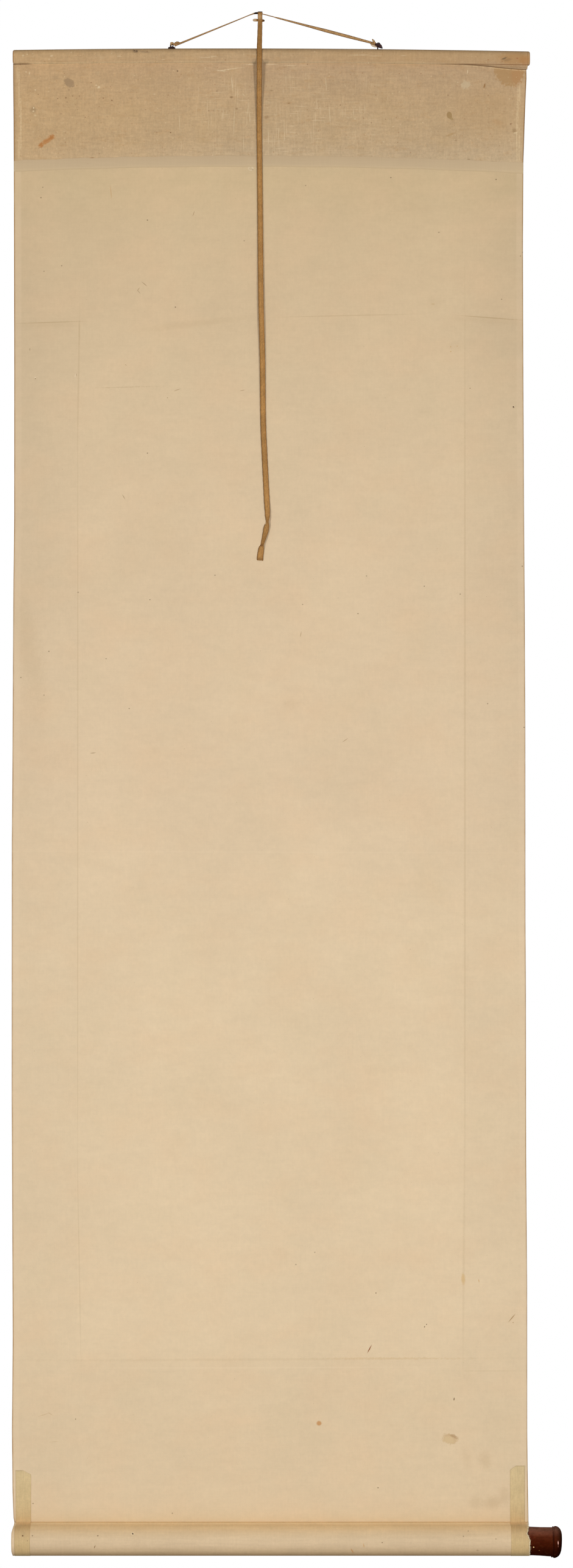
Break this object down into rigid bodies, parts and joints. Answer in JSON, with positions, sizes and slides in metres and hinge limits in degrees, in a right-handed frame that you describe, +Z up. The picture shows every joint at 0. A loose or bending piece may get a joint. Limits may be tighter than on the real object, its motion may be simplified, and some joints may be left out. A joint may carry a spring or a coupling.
{
  "type": "hanging scroll",
  "caption": "Worn hanging scroll seen from its back: a laminated paper sheet with a stave in its top edge, a roller with a turned knob in its bottom edge, a hanging cord and a tie ribbon.",
  "frame": {"origin": "the hanging point: the underside of the cord's bend, where it rests on what the scroll hangs from", "axes": "+Z up along the sheet, +Y from the back towards the picture side, +X to the right when the back is looked at"},
  "size_m": [0.6403, 0.0365, 1.8006],
  "materials": {
    "backing_paper": "matte",
    "lining_paper": "matte",
    "panel_paper": "matte",
    "border_silk": "matte",
    "protective_silk": "matte",
    "patch_silk": "matte",
    "stave_wood": "matte",
    "rod_wood": "matte",
    "knob_wood": "satin",
    "eyelet_metal": "satin",
    "cord_braid": "matte",
    "ribbon_braid": "matte"
  },
  "bodies": {
    "root": {"backing_sheet": "backing_paper", "roller_pocket": "backing_paper", "silk_lining": "lining_paper", "picture_panel": "panel_paper", "top_border": "border_silk", "left_border": "border_silk", "right_border": "border_silk", "bottom_border": "border_silk", "protective_silk": "protective_silk", "left_patch": "patch_silk", "right_patch": "patch_silk", "top_stave": "stave_wood", "roller_rod": "rod_wood", "right_knob": "knob_wood", "left_eyelet": "eyelet_metal", "right_eyelet": "eyelet_metal", "left_eyelet_seat": "eyelet_metal", "right_eyelet_seat": "eyelet_metal", "hanging_cord": "cord_braid", "left_cord_knot": "cord_braid", "right_cord_knot": "cord_braid", "tie_ribbon_loop": "ribbon_braid", "tie_ribbon": "ribbon_braid"}
  },
  "joints": []
}
